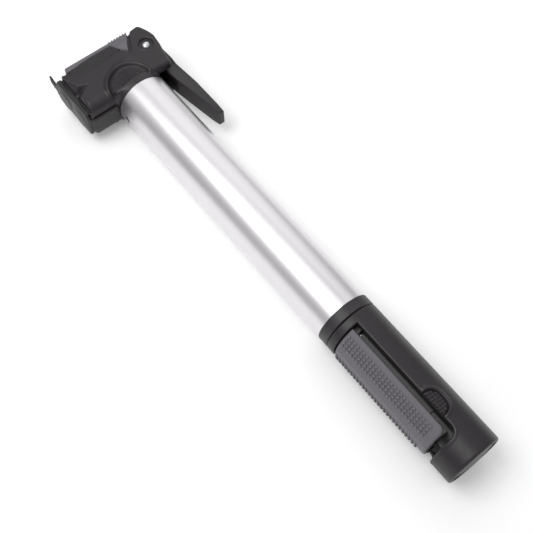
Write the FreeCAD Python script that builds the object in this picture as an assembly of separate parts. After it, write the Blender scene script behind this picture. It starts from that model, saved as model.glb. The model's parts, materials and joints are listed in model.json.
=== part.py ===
"""Bicycle mini pump with a twin-valve head, a swinging lock lever and a fold-out grip lever.

Frame, in millimetres: X runs along the barrel from the head (-X) to the end of the handle (+X). Y runs from the
valve face (-Y) to the lock lever (+Y), and Z is up. The origin is on the barrel's axis, at the middle of the
bare tube, where a frame clip holds it. The pump is modelled as it lies on a table.
"""
import FreeCAD
import Part

import math
import os

from FreeCAD import Vector

# ---- driving dimensions -------------------------------------------------------------------------------------
BARREL_R = 14.0            # outside radius of the tube
BARREL_WALL = 1.2
BARREL_HALF = 78.3         # half the bare tube's length
HEAD_SPIGOT = 12.0         # how far the head reaches into the tube
COLLAR_SPIGOT = 9.0        # how far the collar reaches into the tube
RUN = 0.05                 # radial clearance of a running fit

COLLAR_R = 14.2            # also the head's ring round the tube's end
COLLAR_LEN = 5.4
HANDLE_R = 14.2
HANDLE_GAP = 0.3           # seam between the collar and the handle
HANDLE_END = 163.7
HANDLE_WALL = 1.8
HANDLE_TURN = -16.0        # degrees that the grip lever stands round from the valve face
TWIST = 36.0               # degrees from unlocked to locked

ROD_R = 5.0
ROD_BORE_R = 3.8
ROD_END = 118.0

HEAD_HALF = 12.0           # half the head's thickness
HEAD_TOP = -111.3
HEAD_FOOT = -81.0          # underside of the head, beside the barrel
VALVE_FACE = -30.0
NARROW_X = -88.3           # axis of the narrow valve's hole
WIDE_X = -101.9            # axis of the wide valve's hole
NARROW_BORE_R = 2.95
WIDE_BORE_R = 3.9
GROMMET_R = 6.2
GROMMET_LEN = 6.6

PIVOT = (-98.3, 17.0)      # lock lever's pivot, X and Y
CAM_R = 6.0
CAM_OFFSET = 1.5
CAM_REST = 135.0           # degrees from +X to the cam's centre, lever shut
CAM_GAP = 0.1
LEVER_HALF = 6.3           # half the lock lever's width
CHEEK_HALF = 7.2           # half the slot between the head's cheeks
RIVET_R = 1.6

GRIP_HALF_ANGLE = 55.0     # grip lever, seen along the axis
SLOT_HALF_ANGLE = 68.0     # recess that it lies in
SLOT_X = (88.3, 151.1)
GRIP_X = (88.7, 147.6)
GRIP_PIN = (145.0, -9.4)   # grip lever's hinge pin, X and Y before the handle's turn
GRIP_PIN_R = 1.0
PAD_R = 14.1
PAD_INNER_R = 12.6

TUBE_BORE_R = BARREL_R - BARREL_WALL
COLLAR_X = (BARREL_HALF, BARREL_HALF + COLLAR_LEN)
HANDLE_FRONT = COLLAR_X[1] + HANDLE_GAP
HEAD_SPIGOT_X = HEAD_SPIGOT - BARREL_HALF
COLLAR_SPIGOT_X = BARREL_HALF - COLLAR_SPIGOT
X_AXIS = Vector(1, 0, 0)
Y_AXIS = Vector(0, 1, 0)
Z_AXIS = Vector(0, 0, 1)
CENTRE = Vector(0, 0, 0)


# ---- shape helpers ------------------------------------------------------------------------------------------
def rod_x(start, end, radius, y=0.0, z=0.0):
    """Cylinder along X."""
    return Part.makeCylinder(radius, end - start, Vector(start, y, z), X_AXIS)


def rod_y(start, end, radius, x, z=0.0):
    """Cylinder along Y."""
    return Part.makeCylinder(radius, end - start, Vector(x, start, z), Y_AXIS)


def rod_z(start, end, radius, x, y):
    """Cylinder along Z."""
    return Part.makeCylinder(radius, end - start, Vector(x, y, start), Z_AXIS)


def block(x, y, z):
    """Box between the two values of each pair."""
    size = (x[1] - x[0], y[1] - y[0], z[1] - z[0])
    return Part.makeBox(*size, Vector(x[0], y[0], z[0]))


def ring_x(start, end, outer, inner):
    """Tube along X."""
    return rod_x(start, end, outer).cut(rod_x(start - 1, end + 1, inner))


def plate(points, half):
    """Plate in the XY plane with the given corners, half its thickness each side of Z = 0."""
    corners = [Vector(x, y, -half) for x, y in points]
    wire = Part.makePolygon(corners + corners[:1])
    return Part.Face(wire).extrude(Vector(0, 0, 2 * half))


def rounded_plate(points, half, radius):
    """Plate with its corners rounded to one radius."""
    solid = plate(points, half)
    upright = [e for e in solid.Edges if abs(e.tangentAt(e.FirstParameter).z) > 0.99]
    return solid.makeFillet(radius, upright)


def spun(points):
    """Solid of revolution about the barrel's axis from (x, radius) corners."""
    corners = [Vector(x, r, 0) for x, r in points]
    wire = Part.makePolygon(corners + corners[:1])
    return Part.Face(wire).revolve(CENTRE, X_AXIS, 360)


def prism_y(points, y0, y1):
    """Prism along Y with the given (x, z) corners."""
    corners = [Vector(x, y0, z) for x, z in points]
    wire = Part.makePolygon(corners + corners[:1])
    return Part.Face(wire).extrude(Vector(0, y1 - y0, 0))


def obround(y0, y1, radius):
    """Long-hole prism along Y round both valve axes."""
    ends = rod_y(y0, y1, radius, NARROW_X).fuse(rod_y(y0, y1, radius, WIDE_X))
    return ends.fuse(block((WIDE_X, NARROW_X), (y0, y1), (-radius, radius))).removeSplitter()


def sector(x, radii, half_angle, middle=180.0):
    """Part of a tube along X, from -half_angle to +half_angle round the direction middle (0 is +Y)."""
    outer = Part.makeCylinder(radii[1], x[1] - x[0], CENTRE, Z_AXIS, 2 * half_angle)
    inner = Part.makeCylinder(radii[0], x[1] - x[0] + 2, Vector(0, 0, -1), Z_AXIS)
    piece = outer.cut(inner)
    piece.rotate(CENTRE, Z_AXIS, -half_angle)
    piece.rotate(CENTRE, Y_AXIS, 90)
    piece.rotate(CENTRE, X_AXIS, 90 + middle)
    piece.translate(Vector(x[0], 0, 0))
    return piece


def cut_all(solid, tools):
    """Solid with every tool cut from it."""
    for tool in tools:
        solid = solid.cut(tool)
    return solid


def outline_edges(solid, level):
    """Edges that lie wholly at the height Z = level."""
    return [e for e in solid.Edges if all(abs(v.Z - level) < 1e-6 for v in e.Vertexes)]


def handle_turned(solid):
    """Turns a piece of the handle from its own upright position to where it stands on the pump."""
    solid.rotate(CENTRE, X_AXIS, HANDLE_TURN)
    return solid


# ---- barrel and collar --------------------------------------------------------------------------------------
SNAP_X = -73.1             # snap pin that holds the tube on the head's spigot
SNAP_R = 2.1
SNAP_DEPTH = 10.2          # distance of the snap pin's inner end from the axis


def barrel_tube():
    """Aluminium tube with the hole for the snap pin."""
    tube = ring_x(-BARREL_HALF, BARREL_HALF, BARREL_R, TUBE_BORE_R)
    return tube.cut(rod_y(-BARREL_R - 1, 0, SNAP_R + 0.1, SNAP_X))


def barrel_snap_pin():
    """Pin through the tube's wall into the head's spigot."""
    return rod_y(-BARREL_R + 0.4, -SNAP_DEPTH, SNAP_R, SNAP_X)


NECK_R = 9.4
LUG_R = 10.9
LUG_HALF_ANGLE = 20.0
LUG_X = (86.8, 89.2)
COLLAR_BORE_R = 8.0
NECK_END = 91.0
RIM = 0.4                  # chamfer of the collar's outer edge
BUSH_END = 87.8
WIPER_X = (88.0, 90.4)


def lugs(x, radii, half_angle):
    """The two lugs of the twist lock, or the slots that let them in."""
    up = sector(x, radii, half_angle, 90.0)
    return up.fuse(sector(x, radii, half_angle, -90.0))


def barrel_collar():
    """Ring that closes the tube and carries the rod's bush and the twist lock's lugs."""
    body = rod_x(COLLAR_SPIGOT_X, BARREL_HALF, TUBE_BORE_R)
    body = body.fuse(spun([(COLLAR_X[0], 0), (COLLAR_X[0], COLLAR_R), (COLLAR_X[1] - RIM, COLLAR_R),
                           (COLLAR_X[1], COLLAR_R - RIM), (COLLAR_X[1], 0)]))
    body = body.fuse(rod_x(COLLAR_X[1], NECK_END, NECK_R))
    body = body.fuse(handle_turned(lugs(LUG_X, (NECK_R - 1, LUG_R), LUG_HALF_ANGLE)))
    return body.cut(rod_x(0, NECK_END + 1, COLLAR_BORE_R)).removeSplitter()


def rod_bush():
    """Plain bearing that the rod slides in."""
    return ring_x(COLLAR_SPIGOT_X + 0.5, BUSH_END, COLLAR_BORE_R, ROD_R + RUN)


def rod_wiper():
    """Felt and rubber ring that wipes the rod."""
    return ring_x(*WIPER_X, COLLAR_BORE_R, ROD_R + RUN)


# ---- piston and rod -----------------------------------------------------------------------------------------
PISTON_X = (-64.0, -54.2)
PISTON_R = 12.5
SEAL_R = TUBE_BORE_R - RUN
SEAL_X = (-61.6, -58.4)
SEAL_INNER_R = PISTON_R - 2.2
DISH_DEPTH = 4.0
STUB_R = 3.0
SCREW_R = 1.6
SCREW_HEAD_R = 4.2
SCREW_HEAD_LEN = 1.65
SCREW_END = -45.0
STUB_X = (PISTON_X[0] - 0.15, PISTON_X[1] + 0.2)
STOP_X = (-53.6, -50.6)
STOP_R = 8.6


def piston():
    """Moulded piston, grooved for its seal, that turns on the rod's stub."""
    body = rod_x(PISTON_X[0], PISTON_X[1], PISTON_R)
    groove = ring_x(*SEAL_X, PISTON_R + 1, SEAL_INNER_R)
    dish = ring_x(PISTON_X[1] - DISH_DEPTH, PISTON_X[1] + 1, PISTON_R - 2.6, ROD_R + 2.4)
    return cut_all(body, [groove, dish, rod_x(PISTON_X[0] - 1, PISTON_X[1] + 1, STUB_R + RUN)])


def piston_seal():
    """Rubber cup seal in the piston's groove."""
    return ring_x(*SEAL_X, SEAL_R, SEAL_INNER_R)


def piston_screw():
    """Screw and its washer that keep the piston on the stub."""
    head = rod_x(STUB_X[0] - SCREW_HEAD_LEN, STUB_X[0], SCREW_HEAD_R)
    return head.fuse(rod_x(STUB_X[0] - 1, SCREW_END, SCREW_R)).removeSplitter()


def rod_stub():
    """Plug in the end of the rod, turned down to carry the piston."""
    body = rod_x(*STUB_X, STUB_R)
    body = body.fuse(rod_x(STUB_X[1], SCREW_END + 3, ROD_BORE_R))
    return body.cut(rod_x(STUB_X[0] - 1, SCREW_END, SCREW_R)).removeSplitter()


def piston_rod():
    """Aluminium tube from the piston to the handle."""
    return ring_x(STUB_X[1], ROD_END, ROD_R, ROD_BORE_R)


def bump_stop():
    """Rubber ring that softens the end of the stroke."""
    return ring_x(*STOP_X, STOP_R, ROD_R)


# ---- handle -------------------------------------------------------------------------------------------------
SHELL_BORE_R = HANDLE_R - HANDLE_WALL
CORE_X = (84.6, 156.0)
RIDGE_END = 86.5           # inner ridge that the lugs lock behind
POCKET_END = 92.4
LUG_ROOM = 0.25            # clearance round the neck and its lugs
CORE_FLOOR_R = 7.6
HEEL_FLOOR_R = 6.6
HEEL_X = 137.0
EAR_Z = (3.4, 5.4)
EAR_R = 2.0
EAR_ROOT_Y = -4.0
HANDLE_SCREW_X = (104.0, 129.0)
HANDLE_SCREW_SEAT = 126.0
ACCESS_R = 5.0             # hole for the driver, closed by the end cap
HEX_R = 2.0                # screw's socket
HOLLOW_X = (96.0, 150.0)   # moulding hollow behind the rod's socket
FINGER_X = 136.7
FINGER_R = 7.2
FINGER_DEPTH = 1.1
RECESS_END = 0.5           # the shell's rim stands this far in from the end cap's dome
CAP_WALL = 3.6
DOME_R = 60.0


def grip_recess(radii):
    """Room round the grip lever."""
    return sector(SLOT_X, radii, SLOT_HALF_ANGLE)


def finger_scoops():
    """Half-moon scoops beside the recess for a finger."""
    scoops = []
    for side in (1, -1):
        scoop = rod_z(HANDLE_R - FINGER_DEPTH, HANDLE_R + 3, FINGER_R, FINGER_X, 0)
        scoop.rotate(CENTRE, X_AXIS, side * -(90 - SLOT_HALF_ANGLE - 2))
        if side < 0:
            scoop.rotate(CENTRE, X_AXIS, 180)
        scoops.append(scoop)
    return scoops


def handle_shell():
    """Black moulded outer shell with the recess for the grip lever."""
    front_edge = 0.3
    rim = HANDLE_END - RECESS_END
    body = spun([(HANDLE_FRONT, SHELL_BORE_R), (HANDLE_FRONT, HANDLE_R - front_edge),
                 (HANDLE_FRONT + front_edge, HANDLE_R), (rim - 2.1, HANDLE_R), (rim - 0.7, HANDLE_R - 0.5),
                 (rim, HANDLE_R - 1.4), (rim, SHELL_BORE_R)])
    return handle_turned(cut_all(body, [grip_recess((0, HANDLE_R + 2))] + finger_scoops()))


def handle_core():
    """Inner moulding: rod socket, twist-lock pocket and the grip lever's hinge ears."""
    body = rod_x(CORE_X[0], CORE_X[1], SHELL_BORE_R)
    body = body.cut(grip_recess((CORE_FLOOR_R, HANDLE_R + 2)))
    body = body.cut(sector((HEEL_X, SLOT_X[1]), (HEEL_FLOOR_R, HANDLE_R), SLOT_HALF_ANGLE))
    for side in (1, -1):
        ear = block((GRIP_PIN[0] - EAR_R, GRIP_PIN[0] + EAR_R), (GRIP_PIN[1], EAR_ROOT_Y), EAR_Z)
        ear = ear.fuse(rod_z(EAR_Z[0], EAR_Z[1], EAR_R, *GRIP_PIN))
        if side < 0:
            ear = ear.mirror(CENTRE, Z_AXIS)
        body = body.fuse(ear)
    mouth = rod_x(CORE_X[0] - 1, RIDGE_END, NECK_R + LUG_ROOM)
    entry = lugs((CORE_X[0] - 1, RIDGE_END + 0.1), (NECK_R - 1, LUG_R + LUG_ROOM), LUG_HALF_ANGLE + 2.5)
    pocket = rod_x(RIDGE_END, POCKET_END, LUG_R + LUG_ROOM)
    socket = rod_x(POCKET_END - 1, ROD_END, ROD_R)
    shank = rod_x(ROD_END - 1, HANDLE_SCREW_SEAT + 1, ROD_BORE_R)
    access = rod_x(HANDLE_SCREW_SEAT, CORE_X[1] + 1, ACCESS_R)
    pin_hole = rod_z(-EAR_Z[1] - 1, EAR_Z[1] + 1, GRIP_PIN_R, *GRIP_PIN)
    hollow = sector(HOLLOW_X, (COLLAR_BORE_R, SHELL_BORE_R - 1.6), 70.0, 0.0)
    body = cut_all(body, [mouth, entry, pocket, socket, shank, access, pin_hole, hollow])
    return handle_turned(body.removeSplitter())


def handle_screw():
    """Screw that pulls the rod up into the handle's core."""
    seat = HANDLE_SCREW_SEAT + 0.1
    head = rod_x(seat, HANDLE_SCREW_X[1], ACCESS_R - 0.1).cut(rod_x(seat + 1.1, HANDLE_SCREW_X[1] + 1, HEX_R))
    return head.fuse(rod_x(HANDLE_SCREW_X[0], seat + 0.1, ROD_BORE_R)).removeSplitter()


def handle_end_cap():
    """Domed plug that closes the handle's end."""
    body = rod_x(CORE_X[1], HANDLE_END, SHELL_BORE_R)
    body = body.common(Part.makeSphere(DOME_R, Vector(HANDLE_END - DOME_R, 0, 0)))
    return body.cut(rod_x(CORE_X[1] - 1, HANDLE_END - CAP_WALL, SHELL_BORE_R - 2.0))


def grip_lever():
    """Stiff inner part of the fold-out grip, with its hinge knuckle."""
    body = sector(GRIP_X, (9.0, PAD_INNER_R), GRIP_HALF_ANGLE - 1.0)
    root = GRIP_PIN[0] - 5
    knuckle = block((root, GRIP_PIN[0]), (GRIP_PIN[1] - 2.2, GRIP_PIN[1] + EAR_R), (-EAR_Z[0], EAR_Z[0]))
    knuckle = knuckle.fuse(rod_z(-EAR_Z[0], EAR_Z[0], EAR_R, *GRIP_PIN))
    body = body.fuse(knuckle).cut(rod_x(COLLAR_X[1], POCKET_END + 0.6, LUG_R + 0.6))
    gap = 0.3
    for z in ((EAR_Z[0] - gap, EAR_Z[1] + gap), (-EAR_Z[1] - gap, -EAR_Z[0] + gap)):
        body = body.cut(block((root - 0.5, GRIP_X[1] + 1), (GRIP_PIN[1] - EAR_R - 0.35, 0), z))
    body = body.cut(rod_z(-PAD_R, PAD_R, GRIP_PIN_R + RUN, *GRIP_PIN))
    return handle_turned(body.removeSplitter())


def grip_pad():
    """Grey soft skin of the grip lever."""
    body = sector(GRIP_X, (PAD_INNER_R, PAD_R), GRIP_HALF_ANGLE)
    ends = [e for e in body.Edges if e.BoundBox.XMin > GRIP_X[1] - 0.01 and e.Length < 3]
    return handle_turned(body.makeChamfer(1.2, ends) if ends else body)


def grip_hinge_pin():
    """Steel pin through the ears and the knuckle."""
    return handle_turned(rod_z(-EAR_Z[1], EAR_Z[1], GRIP_PIN_R, *GRIP_PIN))


# ---- head ---------------------------------------------------------------------------------------------------
HEAD_OUTLINE = [(HEAD_FOOT, 20.5), (-89.3, 22.3), (-100.3, 24.0), (HEAD_TOP, 20.8), (HEAD_TOP, -24.5),
                (-108.0, VALVE_FACE), (HEAD_FOOT + 0.4, VALVE_FACE), (HEAD_FOOT + 0.4, -12.0)]
NOSE_HALF = 7.6            # half the head's thickness where the dust cap's skirt wraps it
NOSE_Y = -27.0
FOOT_BEVEL = 5.5           # bevel along both edges of the head's underside
CHAMBER_Y = (-28.4, -13.0)
STEM_X = -94.6
STEM_R = 3.0
DUCT_R = 1.6
DUCT_X = -84.6
SLOT_FLOOR = 5.4
PLATE_R = 6.9
ORING_X = (-69.4, -67.4)
ORING_INNER_R = 11.4
STEM_SEAL_Y = (-5.0, -2.4)
STEM_SEAL_R = STEM_R + 1.6
VALVE_POCKET_R = 4.9       # pocket of the check valve in the spigot's end
VALVE_POCKET_X = -70.5
CORE_PIN_R = 0.9
CORE_PIN_Y = (-19.2, -14.2)
RECESS_R = 3.75            # round recess of the rivet's head
RECESS_DEPTH = 1.0
CHEEK_X = -108.4           # end of the slot between the cheeks
CONE_END = (-96.0, 12.2)   # end of the cone behind the ring, X and radius
PAD_SEAT = -109.4          # floor of the thumb pad's seat


def head_body():
    """Moulded head: valve chamber, lever cheeks, and the spigot that plugs into the tube."""
    body = rounded_plate(HEAD_OUTLINE, HEAD_HALF, 1.4)
    body = body.makeChamfer(1.2, outline_edges(body, HEAD_HALF) + outline_edges(body, -HEAD_HALF))
    ring = spun([(-BARREL_HALF, 0), (-BARREL_HALF, COLLAR_R), (HEAD_FOOT - 3, COLLAR_R), CONE_END,
                 (CONE_END[0], 0)])
    body = body.fuse(ring).fuse(rod_x(-BARREL_HALF, HEAD_SPIGOT_X, TUBE_BORE_R))
    cheek_slot = block((CHEEK_X, HEAD_SPIGOT_X), (SLOT_FLOOR, 40), (-CHEEK_HALF, CHEEK_HALF))
    cheek_slot = cheek_slot.cut(rod_x(HEAD_FOOT - 3, HEAD_SPIGOT_X, COLLAR_R))
    spigot_hollow = ring_x(-BARREL_HALF + 1, HEAD_SPIGOT_X + 1, 9.4, 6.4)
    pad_seat = block((HEAD_TOP - 5, PAD_SEAT), (-40, 13.2), (-20, 20))
    chamber = obround(*CHAMBER_Y, GROMMET_R + 0.1)
    plate_seat = obround(VALVE_FACE - 1, CHAMBER_Y[0], PLATE_R)
    stem_hole = rod_y(CHAMBER_Y[1] - 1, 8, STEM_R + RUN, STEM_X)
    stem_seal = rod_y(*STEM_SEAL_Y, STEM_SEAL_R, STEM_X)
    duct = rod_y(CHAMBER_Y[1] - 1, 0, DUCT_R, DUCT_X).fuse(rod_x(DUCT_X - 0.8, HEAD_SPIGOT_X, DUCT_R))
    valve_pocket = rod_x(VALVE_POCKET_X, HEAD_SPIGOT_X + 1, VALVE_POCKET_R)
    rivet_hole = rod_z(-HEAD_HALF, HEAD_HALF, RIVET_R, *PIVOT)
    core_pin_hole = rod_y(CORE_PIN_Y[1], -12, CORE_PIN_R, WIDE_X)
    snap_hole = rod_y(-BARREL_R - 2, -SNAP_DEPTH, SNAP_R, SNAP_X)
    oring_groove = ring_x(*ORING_X, BARREL_R, ORING_INNER_R)
    tools = [pad_seat, chamber, plate_seat, cheek_slot, spigot_hollow, stem_hole, stem_seal, duct, valve_pocket,
             rivet_hole, core_pin_hole, snap_hole, oring_groove]
    foot = HEAD_FOOT + 0.6
    for side in (1, -1):
        bevel = [(foot, side * (HEAD_HALF - FOOT_BEVEL)), (foot, side * 20), (foot - FOOT_BEVEL, side * 20),
                 (foot - FOOT_BEVEL, side * HEAD_HALF)]
        tools.append(prism_y(bevel, VALVE_FACE - 1, -COLLAR_R))
        tools.append(block((-120, -70), (-40, NOSE_Y), sorted((side * NOSE_HALF, side * 20))))
        tools.append(rod_z(*sorted((side * (HEAD_HALF - RECESS_DEPTH), side * 20)), RECESS_R, *PIVOT))
    return cut_all(body, tools).removeSplitter()


def head_oring():
    """Ring that seals the spigot in the tube."""
    return ring_x(*ORING_X, TUBE_BORE_R, ORING_INNER_R)


def check_valve():
    """Rubber umbrella valve at the mouth of the air duct, its stalk in the duct."""
    seat = VALVE_POCKET_X + 0.1
    return rod_x(seat, seat + 1.2, 4.2).fuse(rod_x(seat - 5.6, seat + 0.1, 1.0)).removeSplitter()


def check_valve_cage():
    """Ring that keeps the umbrella valve in its pocket."""
    return ring_x(HEAD_SPIGOT_X - 1.9, HEAD_SPIGOT_X - 0.2, VALVE_POCKET_R, 2.4)


def valve_holes(y0, y1):
    """The two valves' holes, a little wider than the grommets' bores."""
    room = 0.4
    return rod_y(y0, y1, NARROW_BORE_R + room, NARROW_X).fuse(rod_y(y0, y1, WIDE_BORE_R + room, WIDE_X))


def valve_face_plate():
    """Plate that holds the two grommets in, with a hole for each valve."""
    return obround(VALVE_FACE, CHAMBER_Y[0], PLATE_R).cut(valve_holes(VALVE_FACE - 1, CHAMBER_Y[0] + 1))


def grommet(x, bore):
    """Rubber grommet that grips a valve."""
    start = CHAMBER_Y[0]
    return rod_y(start, start + GROMMET_LEN, GROMMET_R, x).cut(rod_y(start - 1, 0, bore, x))


def squeeze_plunger():
    """Plate, stem and cam follower that the lever pushes onto the grommets."""
    cam_low = PIVOT[1] + CAM_OFFSET * math.sin(math.radians(CAM_REST)) - CAM_R
    travel = 2.2
    back = CHAMBER_Y[0] + GROMMET_LEN + travel
    body = obround(back, back + 1.8, GROMMET_R - 0.25)
    body = body.cut(valve_holes(back - 1, back + 3))
    body = body.fuse(rod_y(back + 0.5, 9.0, STEM_R, STEM_X))
    bar = block((-103.4, STEM_X + STEM_R), (8.6, cam_low - CAM_GAP), (-5.0, 5.0))
    return body.fuse(bar).removeSplitter()


def plunger_seal():
    """Ring that seals the plunger's stem."""
    return rod_y(*STEM_SEAL_Y, STEM_SEAL_R, STEM_X).cut(rod_y(-6, -1, STEM_R + RUN, STEM_X))


def valve_core_pin():
    """Pin that opens the wide valve's core."""
    return rod_y(CORE_PIN_Y[0], -12, CORE_PIN_R, WIDE_X)


def lock_lever():
    """Lever with its cam, shut beside the barrel."""
    cam_turn = math.radians(CAM_REST)
    cam = (PIVOT[0] + CAM_OFFSET * math.cos(cam_turn), PIVOT[1] + CAM_OFFSET * math.sin(cam_turn))
    blade = plate([(-96.5, 12.7), (-90.0, 15.2), (-86.3, 16.6), (-73.0, 18.3), (-44.0, 22.8), (-43.4, 25.8),
                   (-66.8, 26.2), (-87.5, 24.6), (-95.5, 24.3), (-100.5, 23.6)], LEVER_HALF)
    solid = blade.fuse(rod_z(-LEVER_HALF, LEVER_HALF, CAM_R, *cam)).removeSplitter()
    sides = outline_edges(solid, LEVER_HALF) + outline_edges(solid, -LEVER_HALF)
    outer = [e for e in sides if e.BoundBox.YMin > 24.4 and e.BoundBox.XMin > -88]
    solid = solid.makeChamfer(1.6, outer)
    return solid.cut(rod_z(-20, 20, RIVET_R + RUN, *PIVOT))


def lever_washers():
    """Two plain washers between the lever and the cheeks."""
    washers = []
    for side in (1, -1):
        span = sorted((side * (LEVER_HALF + 0.08), side * CHEEK_HALF))
        washers.append(rod_z(*span, 4.0, *PIVOT).cut(rod_z(-20, 20, RIVET_R, *PIVOT)))
    return Part.makeCompound(washers)


def lever_rivet():
    """Steel rivet with a dome at each end."""
    reach = HEAD_HALF - RECESS_DEPTH
    body = rod_z(-reach, reach, RIVET_R, *PIVOT)
    for side in (1, -1):
        dome = Part.makeSphere(2.6, Vector(*PIVOT, side * (reach - 1.3)))
        slab = rod_z(*sorted((side * reach, side * (reach + 2))), 2.1, *PIVOT)
        body = body.fuse(dome.common(slab))
    return body.removeSplitter()


def thumb_pad():
    """Soft ribbed pad on the head's top and its pointed lap over the sides."""
    body = block((-112.4, PAD_SEAT), (-23.0, 12.8), (-10.4, 10.4))
    return body.makeChamfer(0.8, [e for e in body.Edges if e.BoundBox.XMax < -112.3])


CAP_Y = (-33.0, -30.2)
CAP_X = (-110.8, HEAD_FOOT + 0.6)
SKIRT_Y = -28.6
PLUG_END = -28.8
TAB_X = -119.5
TAB_Y = (-31.9, -30.6)
TAB_HALF = 2.0
CAP_HALF = 8.6
STRAP_HALF = 3.7


def dust_cap():
    """Rubber cap over the valve face, with a short skirt, two plugs and a pull tab."""
    outer = block(CAP_X, (CAP_Y[0], SKIRT_Y), (-CAP_HALF, CAP_HALF))
    outer = outer.makeFillet(1.2, [e for e in outer.Edges if abs(e.tangentAt(e.FirstParameter).y) > 0.99])
    outer = outer.makeChamfer(1.0, [e for e in outer.Edges if e.BoundBox.YMax < CAP_Y[0] + 0.01])
    room = block((CAP_X[0] + 1, HEAD_FOOT + 2), (CAP_Y[1], SKIRT_Y + 3), (-NOSE_HALF - 0.2, NOSE_HALF + 0.2))
    body = outer.cut(room)
    body = body.fuse(rod_y(CAP_Y[1] - 0.5, PLUG_END, NARROW_BORE_R, NARROW_X))
    body = body.fuse(rod_y(CAP_Y[1] - 0.5, PLUG_END, WIDE_BORE_R, WIDE_X))
    body = body.fuse(block((TAB_X, CAP_X[0] + 1), TAB_Y, (-TAB_HALF, TAB_HALF)))
    return body.removeSplitter()


def dust_cap_strap():
    """Rubber strap from the cap's foot to the barrel."""
    return block((HEAD_FOOT + 0.4, HEAD_FOOT + 1.5), (-29.4, -COLLAR_R - 0.05), (-STRAP_HALF, STRAP_HALF))


NODES = {
    "barrel_tube": barrel_tube, "barrel_snap_pin": barrel_snap_pin, "barrel_collar": barrel_collar,
    "rod_bush": rod_bush, "rod_wiper": rod_wiper,
    "piston": piston, "piston_seal": piston_seal, "piston_screw": piston_screw, "rod_stub": rod_stub,
    "piston_rod": piston_rod, "bump_stop": bump_stop,
    "handle_shell": handle_shell, "handle_core": handle_core, "handle_screw": handle_screw,
    "handle_end_cap": handle_end_cap,
    "grip_lever": grip_lever, "grip_pad": grip_pad, "grip_hinge_pin": grip_hinge_pin,
    "head_body": head_body, "head_oring": head_oring, "check_valve": check_valve,
    "check_valve_cage": check_valve_cage, "valve_face_plate": valve_face_plate,
    "narrow_valve_grommet": lambda: grommet(NARROW_X, NARROW_BORE_R),
    "wide_valve_grommet": lambda: grommet(WIDE_X, WIDE_BORE_R),
    "squeeze_plunger": squeeze_plunger, "plunger_seal": plunger_seal, "valve_core_pin": valve_core_pin,
    "lock_lever": lock_lever, "lever_washers": lever_washers, "lever_rivet": lever_rivet,
    "thumb_pad": thumb_pad, "dust_cap": dust_cap, "dust_cap_strap": dust_cap_strap,
}

os.makedirs("parts", exist_ok=True)
for name, make in NODES.items():
    shape = make()
    shape.exportStep("parts/" + name + ".step")
    print(name, len(shape.Solids), "solid", "valid" if shape.isValid() else "INVALID", round(shape.Volume))
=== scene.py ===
"""Looks of the bicycle mini pump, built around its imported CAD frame.

The pump lies along X with its head at -X, its valve face towards -Y and its lock lever towards +Y. Lengths inside
the builders are millimetres, and each mesh is scaled to metres when it is made.
"""
import json
import logging
import math
from dataclasses import dataclass
from enum import Enum
from typing import Callable, Sequence

import bpy
import numpy as np
from mathutils import Matrix, Vector


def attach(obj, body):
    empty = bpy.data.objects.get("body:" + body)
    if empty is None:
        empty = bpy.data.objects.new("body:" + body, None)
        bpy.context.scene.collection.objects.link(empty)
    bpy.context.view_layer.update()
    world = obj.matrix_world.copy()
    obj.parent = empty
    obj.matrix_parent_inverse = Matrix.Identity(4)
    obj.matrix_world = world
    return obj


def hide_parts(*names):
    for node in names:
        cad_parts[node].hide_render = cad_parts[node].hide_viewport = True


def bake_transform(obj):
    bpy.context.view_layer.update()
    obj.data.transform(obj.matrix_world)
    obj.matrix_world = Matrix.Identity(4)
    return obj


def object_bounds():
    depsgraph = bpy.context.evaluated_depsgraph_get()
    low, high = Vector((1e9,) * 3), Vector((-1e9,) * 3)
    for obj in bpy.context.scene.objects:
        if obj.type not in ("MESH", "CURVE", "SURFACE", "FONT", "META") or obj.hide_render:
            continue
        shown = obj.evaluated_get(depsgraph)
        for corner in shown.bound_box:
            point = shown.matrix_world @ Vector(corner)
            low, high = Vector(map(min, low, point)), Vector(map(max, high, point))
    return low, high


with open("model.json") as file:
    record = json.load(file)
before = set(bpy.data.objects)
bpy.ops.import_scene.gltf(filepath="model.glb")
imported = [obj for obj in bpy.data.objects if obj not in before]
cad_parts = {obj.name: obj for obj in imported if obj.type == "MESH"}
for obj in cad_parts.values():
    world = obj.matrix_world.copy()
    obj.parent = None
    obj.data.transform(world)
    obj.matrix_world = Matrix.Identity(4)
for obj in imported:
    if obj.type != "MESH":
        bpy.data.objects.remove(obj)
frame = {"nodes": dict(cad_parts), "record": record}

CAD_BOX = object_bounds()
LOG = logging.getLogger("mini_pump")
MM = 0.001
SLOPE_REACH = 0.05       # mm, half the span over which a field's slope is taken
SETTLE_PASSES = 3        # times each point is moved onto the surface
MAX_MOVE = 0.35          # longest move in one pass, as a share of the grid step
WORN_FROM, WORN_TO = 0.52, 0.60    # edge sharpness where wear starts and where it is full
Field = Callable[[np.ndarray, np.ndarray, np.ndarray], np.ndarray]
Point = tuple[float, float]


class Slot(Enum):
    """Material slots of the record."""

    SATIN_ALUMINIUM = "satin_aluminium"
    BARE_ALUMINIUM = "bare_aluminium"
    BLACK_PLASTIC = "black_plastic"
    DARK_PLASTIC = "dark_plastic"
    GREY_RUBBER = "grey_rubber"
    BLACK_RUBBER = "black_rubber"
    WHITE_NYLON = "white_nylon"
    STEEL = "steel"
    POLISHED_STEEL = "polished_steel"


# ---- shapes as distance fields ------------------------------------------------------------------------------
def smooth_max(a: np.ndarray, b: np.ndarray, blend: float) -> np.ndarray:
    """Larger of two fields, with the corner between them rounded over the blend length."""
    h = np.maximum(blend - np.abs(a - b), 0) / blend
    return np.maximum(a, b) + h * h * blend / 4


def smooth_min(a: np.ndarray, b: np.ndarray, blend: float) -> np.ndarray:
    """Smaller of two fields, with the corner between them filled over the blend length."""
    return -smooth_max(-a, -b, blend)


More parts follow.
